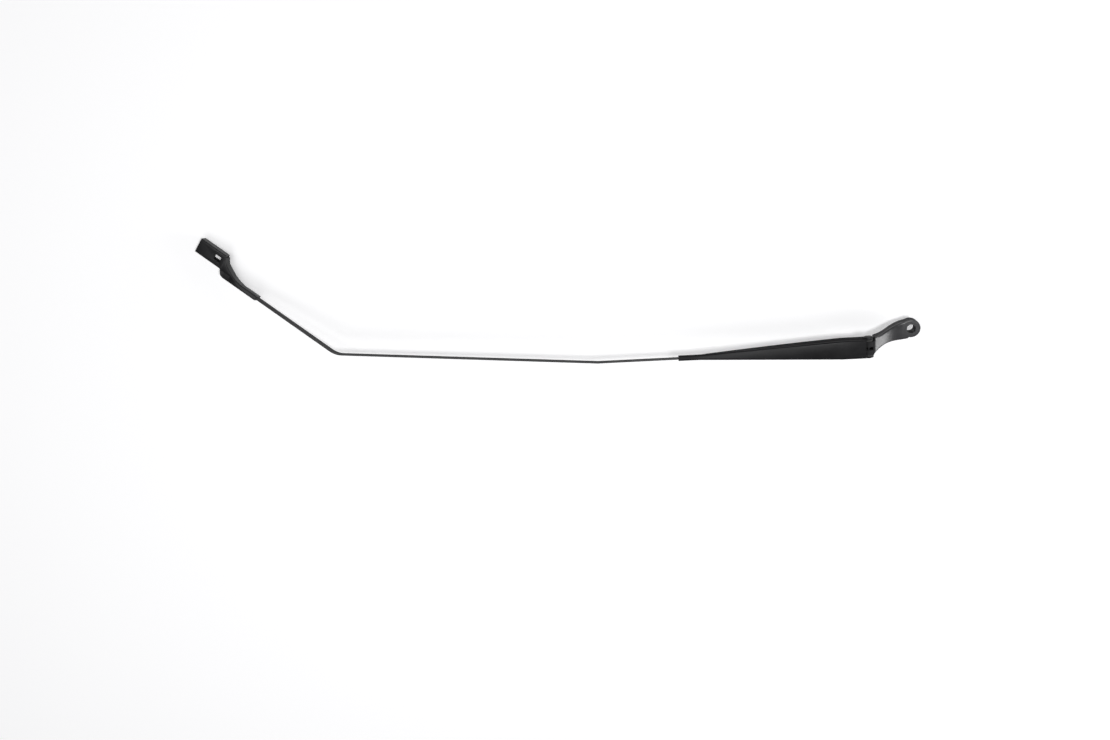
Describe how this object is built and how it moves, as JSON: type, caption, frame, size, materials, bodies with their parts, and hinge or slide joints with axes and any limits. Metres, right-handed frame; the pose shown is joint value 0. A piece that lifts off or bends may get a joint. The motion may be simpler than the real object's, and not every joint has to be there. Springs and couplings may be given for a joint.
{
  "type": "windscreen wiper arm",
  "caption": "Sprung wiper arm: a bored head, a folding tapered channel over a tension spring, a long bent flat strip on edge, and an offset flanged clip for the blade.",
  "frame": {"origin": "on the spindle axis, at the foot of the head's eye", "axes": "+Z along the spindle towards the outer face; the arm runs along -X from the hinge; +Y is the side that the blade clip is bent towards"},
  "size_m": [0.856, 0.1836, 0.0452],
  "materials": {
    "arm_paint": "satin",
    "head_paint": "satin",
    "plain_steel": "satin",
    "bush_plastic": "matte"
  },
  "bodies": {
    "head": {"mounting_head": "head_paint", "near_bush": "bush_plastic", "far_bush": "bush_plastic", "link_pin": "plain_steel"},
    "arm": {"hinge_pin": "plain_steel", "retainer": "arm_paint", "arm_bar": "arm_paint", "blade_clip": "arm_paint"},
    "link": {"spring_link": "plain_steel"},
    "spring": {"tension_spring": "plain_steel"}
  },
  "joints": [
    {"name": "arm_lift", "type": "hinge", "parent": "head", "child": "arm", "pos_m": [-0.0493, -0.0174, 0.0225], "axis": [0, 1, 0], "range_deg": [0, 80]},
    {"name": "link_swing", "type": "hinge", "parent": "head", "child": "link", "pos_m": [-0.0458, -0.0174, 0.014], "axis": [0, 1, 0], "range_deg": [0, 76]},
    {"name": "spring_stretch", "type": "slide", "parent": "link", "child": "spring", "axis": [-0.9969, 0, 0.079], "range_m": [0, 0.006], "deforming": ["tension_spring"]}
  ],
  "couplings": [
    {"joint": "link_swing", "follows": "arm_lift", "ratio": 0.9264},
    {"joint": "spring_stretch", "follows": "arm_lift", "m_per_rad": 0.00372}
  ]
}
